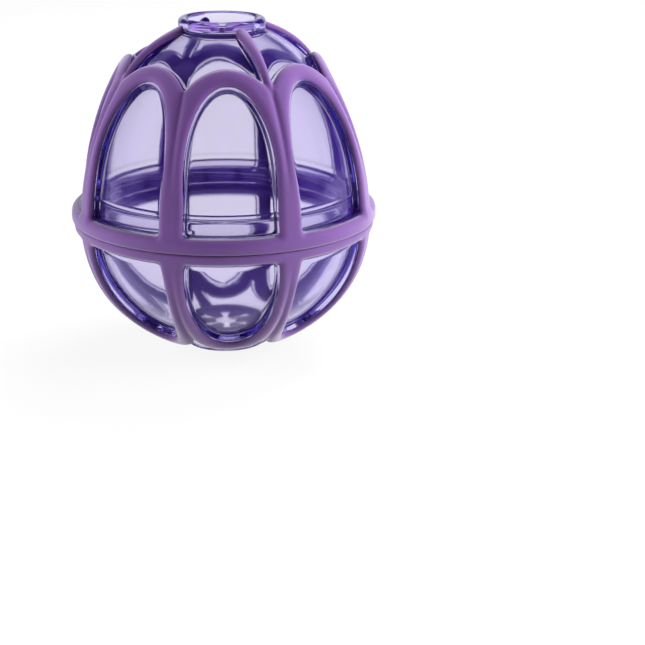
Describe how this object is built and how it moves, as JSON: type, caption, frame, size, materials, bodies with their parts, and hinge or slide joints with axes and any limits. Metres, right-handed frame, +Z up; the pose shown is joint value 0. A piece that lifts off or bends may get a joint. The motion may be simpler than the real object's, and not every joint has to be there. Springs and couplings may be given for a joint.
{
  "type": "treat dispensing egg",
  "caption": "Egg-shaped treat dispensing pet toy: two clear half shells that screw together, each in a soft rib cage, with a pronged treat outlet at either end.",
  "frame": {"origin": "centre of the lower collar's ground face", "axes": "+Z up the screw axis from the lower outlet to the upper one, -Y through the middle of a window"},
  "size_m": [0.114, 0.114, 0.1239],
  "materials": {
    "clear_shell": "clear violet, polished",
    "soft_cage": "matte purple overmould",
    "soft_outlet": "matte light purple"
  },
  "bodies": {
    "lower_half": {"lower_shell": "clear_shell", "lower_cage": "soft_cage", "lower_outlet_ring": "soft_outlet"},
    "upper_lift": {"upper_outlet_ring": "soft_outlet"},
    "upper_half": {"upper_shell": "clear_shell", "upper_cage": "soft_cage"},
    "lower_prong_1": {"lower_prong_1": "soft_outlet"},
    "lower_prong_2": {"lower_prong_2": "soft_outlet"},
    "lower_prong_3": {"lower_prong_3": "soft_outlet"},
    "lower_prong_4": {"lower_prong_4": "soft_outlet"},
    "lower_prong_5": {"lower_prong_5": "soft_outlet"},
    "lower_prong_6": {"lower_prong_6": "soft_outlet"},
    "upper_prong_1": {"upper_prong_1": "soft_outlet"},
    "upper_prong_2": {"upper_prong_2": "soft_outlet"},
    "upper_prong_3": {"upper_prong_3": "soft_outlet"},
    "upper_prong_4": {"upper_prong_4": "soft_outlet"},
    "upper_prong_5": {"upper_prong_5": "soft_outlet"},
    "upper_prong_6": {"upper_prong_6": "soft_outlet"}
  },
  "joints": [
    {"name": "upper_rise", "type": "slide", "parent": "lower_half", "child": "upper_lift", "axis": [0, 0, 1], "range_m": [0, 0.036]},
    {"name": "upper_twist", "type": "hinge", "parent": "upper_lift", "child": "upper_half", "pos_m": [0, 0, 0.04958], "axis": [0, 0, 1], "range_deg": [0, 1080]},
    {"name": "lower_prong_1_bend", "type": "hinge", "parent": "lower_half", "child": "lower_prong_1", "pos_m": [0.00505, 0.00875, 0.00608], "axis": [0.866, -0.5, 0], "range_deg": [-45, 45], "stiffness_Nm_per_rad": 0.002},
    {"name": "lower_prong_2_bend", "type": "hinge", "parent": "lower_half", "child": "lower_prong_2", "pos_m": [-0.00505, 0.00875, 0.00608], "axis": [0.866, 0.5, 0], "range_deg": [-45, 45], "stiffness_Nm_per_rad": 0.002},
    {"name": "lower_prong_3_bend", "type": "hinge", "parent": "lower_half", "child": "lower_prong_3", "pos_m": [-0.0101, 0, 0.00608], "axis": [0, 1, 0], "range_deg": [-45, 45], "stiffness_Nm_per_rad": 0.002},
    {"name": "lower_prong_4_bend", "type": "hinge", "parent": "lower_half", "child": "lower_prong_4", "pos_m": [-0.00505, -0.00875, 0.00608], "axis": [-0.866, 0.5, 0], "range_deg": [-45, 45], "stiffness_Nm_per_rad": 0.002},
    {"name": "lower_prong_5_bend", "type": "hinge", "parent": "lower_half", "child": "lower_prong_5", "pos_m": [0.00505, -0.00875, 0.00608], "axis": [-0.866, -0.5, 0], "range_deg": [-45, 45], "stiffness_Nm_per_rad": 0.002},
    {"name": "lower_prong_6_bend", "type": "hinge", "parent": "lower_half", "child": "lower_prong_6", "pos_m": [0.0101, 0, 0.00608], "axis": [0, -1, 0], "range_deg": [-45, 45], "stiffness_Nm_per_rad": 0.002},
    {"name": "upper_prong_1_bend", "type": "hinge", "parent": "upper_half", "child": "upper_prong_1", "pos_m": [0.00505, 0.00875, 0.11841], "axis": [-0.866, 0.5, 0], "range_deg": [-45, 45], "stiffness_Nm_per_rad": 0.002},
    {"name": "upper_prong_2_bend", "type": "hinge", "parent": "upper_half", "child": "upper_prong_2", "pos_m": [-0.00505, 0.00875, 0.11841], "axis": [-0.866, -0.5, 0], "range_deg": [-45, 45], "stiffness_Nm_per_rad": 0.002},
    {"name": "upper_prong_3_bend", "type": "hinge", "parent": "upper_half", "child": "upper_prong_3", "pos_m": [-0.0101, 0, 0.11841], "axis": [0, -1, 0], "range_deg": [-45, 45], "stiffness_Nm_per_rad": 0.002},
    {"name": "upper_prong_4_bend", "type": "hinge", "parent": "upper_half", "child": "upper_prong_4", "pos_m": [-0.00505, -0.00875, 0.11841], "axis": [0.866, -0.5, 0], "range_deg": [-45, 45], "stiffness_Nm_per_rad": 0.002},
    {"name": "upper_prong_5_bend", "type": "hinge", "parent": "upper_half", "child": "upper_prong_5", "pos_m": [0.00505, -0.00875, 0.11841], "axis": [0.866, 0.5, 0], "range_deg": [-45, 45], "stiffness_Nm_per_rad": 0.002},
    {"name": "upper_prong_6_bend", "type": "hinge", "parent": "upper_half", "child": "upper_prong_6", "pos_m": [0.0101, 0, 0.11841], "axis": [0, 1, 0], "range_deg": [-45, 45], "stiffness_Nm_per_rad": 0.002}
  ],
  "couplings": [
    {"joint": "upper_rise", "follows": "upper_twist", "m_per_rad": 0.0019099}
  ]
}
